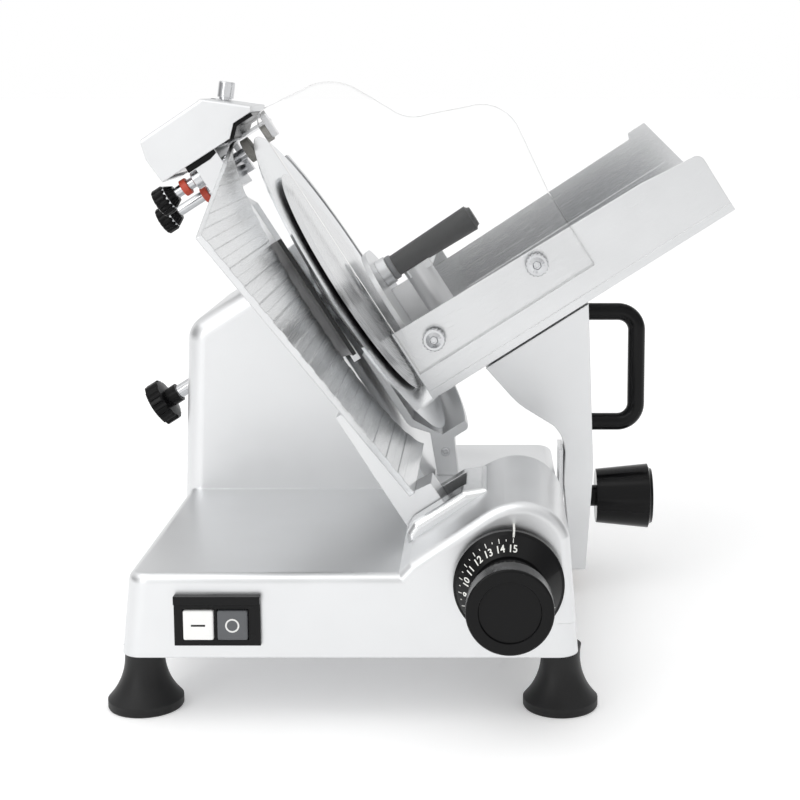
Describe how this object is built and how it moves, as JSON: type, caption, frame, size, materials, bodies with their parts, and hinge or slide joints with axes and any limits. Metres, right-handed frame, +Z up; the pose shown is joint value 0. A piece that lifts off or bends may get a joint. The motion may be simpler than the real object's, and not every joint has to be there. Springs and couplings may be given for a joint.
{
  "type": "deli meat slicer",
  "caption": "Table-top gravity-feed slicer with a tilted sliding carriage, round blade, thickness dial, clear hand guard and top sharpener.",
  "frame": {"origin": "on the table, under the centre of the machine's box", "axes": "+X to the right seen from the dial's side, +Y away from the dial, +Z up"},
  "size_m": [0.4292, 0.506, 0.3797],
  "materials": {
    "cast_aluminium": "satin, bead blasted",
    "anodised_aluminium": "satin anodised",
    "polished_aluminium": "bright",
    "hardened_steel": "mirror ground",
    "bright_steel": "turned",
    "black_rubber": "matte",
    "black_plastic": "gloss",
    "black_sheet": "satin",
    "grey_plastic": "fine grain",
    "white_plastic": "gloss",
    "stop_plastic": "gloss",
    "clear_acrylic": "clear",
    "abrasive": "grit",
    "motor_enamel": "enamel",
    "zinc_steel": "zinc plated"
  },
  "bodies": {
    "root": {"base_casting": "cast_aluminium", "foot_front_left": "black_rubber", "foot_rear_left": "black_rubber", "foot_front_right": "black_rubber", "foot_rear_right": "black_rubber", "foot_screws": "zinc_steel", "switch_bezel": "black_plastic", "switch_body": "black_sheet", "dial_bushing": "black_sheet", "gauge_guide": "bright_steel", "gauge_fairing": "polished_aluminium", "bearing_housing": "polished_aluminium", "shaft_bearings": "bright_steel", "blade_ring_guard": "cast_aluminium", "blade_cover": "anodised_aluminium", "slice_deflector": "black_sheet", "motor_body": "motor_enamel", "drive_belt": "black_rubber", "capacitor": "black_sheet", "carriage_guide_rod": "bright_steel", "bottom_cover": "zinc_steel", "cable_gland": "black_plastic", "sharpener_bracket": "polished_aluminium"},
    "start_push": {"start_button": "white_plastic"},
    "stop_push": {"stop_button": "stop_plastic"},
    "dial": {"dial_plate": "black_plastic", "thickness_knob": "black_plastic", "dial_shaft": "bright_steel", "cam_disc": "bright_steel"},
    "gauge": {"gauge_plate": "anodised_aluminium", "gauge_bracket": "cast_aluminium", "follower_pin": "bright_steel"},
    "knife": {"blade": "hardened_steel", "blade_hub": "polished_aluminium", "blade_shaft": "bright_steel", "blade_pulley": "polished_aluminium"},
    "motor_rotor": {"motor_shaft": "bright_steel", "motor_pulley": "polished_aluminium"},
    "tie": {"tie_rod": "bright_steel", "tie_knob": "black_plastic"},
    "carriage": {"carriage_arm": "cast_aluminium", "carriage_slide_block": "bright_steel", "arm_strip": "bright_steel", "food_tray": "anodised_aluminium", "hand_guard": "clear_acrylic", "guard_clamps": "bright_steel", "carriage_handle": "black_plastic", "pusher_rod": "bright_steel"},
    "arm_knob": {"carriage_knob": "black_plastic"},
    "pusher_slider": {"pusher_sleeve": "bright_steel"},
    "pusher": {"pusher_arm": "polished_aluminium", "pusher_plate": "polished_aluminium", "pusher_handle": "grey_plastic"},
    "sharpener": {"sharpener_cover": "cast_aluminium", "sharpener_frame": "polished_aluminium"},
    "cap_screw": {"thumb_screw": "bright_steel"},
    "grinder": {"grinding_pusher": "bright_steel", "grinding_stone": "abrasive"},
    "honer": {"honing_pusher": "bright_steel", "honing_stone": "abrasive"}
  },
  "joints": [
    {"name": "start_press", "type": "slide", "parent": "root", "child": "start_push", "axis": [0, 1, 0], "range_m": [0, 0.003], "stiffness_N_per_m": 300},
    {"name": "stop_press", "type": "slide", "parent": "root", "child": "stop_push", "axis": [0, 1, 0], "range_m": [0, 0.003], "stiffness_N_per_m": 300},
    {"name": "dial_turn", "type": "hinge", "parent": "root", "child": "dial", "pos_m": [0.04977, -0.194, 0.0867], "axis": [0, 1, 0], "range_deg": [0, 250]},
    {"name": "gauge_slide", "type": "slide", "parent": "root", "child": "gauge", "axis": [0.8434, 0, 0.5373], "range_m": [0, 0.015]},
    {"name": "blade_spin", "type": "hinge", "parent": "root", "child": "knife", "pos_m": [-0.06183, 0.046, 0.23451], "axis": [0.8434, 0, 0.5373], "continuous": true},
    {"name": "motor_spin", "type": "hinge", "parent": "root", "child": "motor_rotor", "pos_m": [-0.07444, 0.081, 0.1296], "axis": [0.8434, 0, 0.5373], "continuous": true},
    {"name": "tie_turn", "type": "hinge", "parent": "root", "child": "tie", "pos_m": [-0.19846, 0.046, 0.14746], "axis": [0.8434, 0, 0.5373], "range_deg": [0, 360]},
    {"name": "carriage_slide", "type": "slide", "parent": "root", "child": "carriage", "axis": [0, 1, 0], "range_m": [-0.2, 0]},
    {"name": "arm_knob_turn", "type": "hinge", "parent": "carriage", "child": "arm_knob", "pos_m": [0.13877, 0.071, 0.068], "axis": [1, 0, 0], "range_deg": [0, 360]},
    {"name": "pusher_slide", "type": "slide", "parent": "carriage", "child": "pusher_slider", "axis": [0.8434, 0, 0.5373], "range_m": [0, 0.18]},
    {"name": "pusher_swing", "type": "hinge", "parent": "pusher_slider", "child": "pusher", "pos_m": [0.01027, 0.244, 0.20136], "axis": [-0.8434, 0, -0.5373], "range_deg": [0, 100]},
    {"name": "sharpener_lift", "type": "slide", "parent": "root", "child": "sharpener", "axis": [-0.5373, 0, 0.8434], "range_m": [0, 0.025]},
    {"name": "cap_screw_turn", "type": "hinge", "parent": "sharpener", "child": "cap_screw", "pos_m": [-0.15143, 0.046, 0.36584], "axis": [0.1374, 0, 0.9905], "range_deg": [0, 360]},
    {"name": "grinder_press", "type": "slide", "parent": "sharpener", "child": "grinder", "axis": [0.8434, 0, 0.5373], "range_m": [0, 0.004], "stiffness_N_per_m": 500, "springref_m": -0.002},
    {"name": "honer_press", "type": "slide", "parent": "sharpener", "child": "honer", "axis": [-0.8434, 0, -0.5373], "range_m": [0, 0.003], "stiffness_N_per_m": 500, "springref_m": -0.002}
  ],
  "couplings": [
    {"joint": "gauge_slide", "follows": "dial_turn", "m_per_rad": 0.0034377},
    {"joint": "motor_spin", "follows": "blade_spin", "ratio": 2.5}
  ]
}
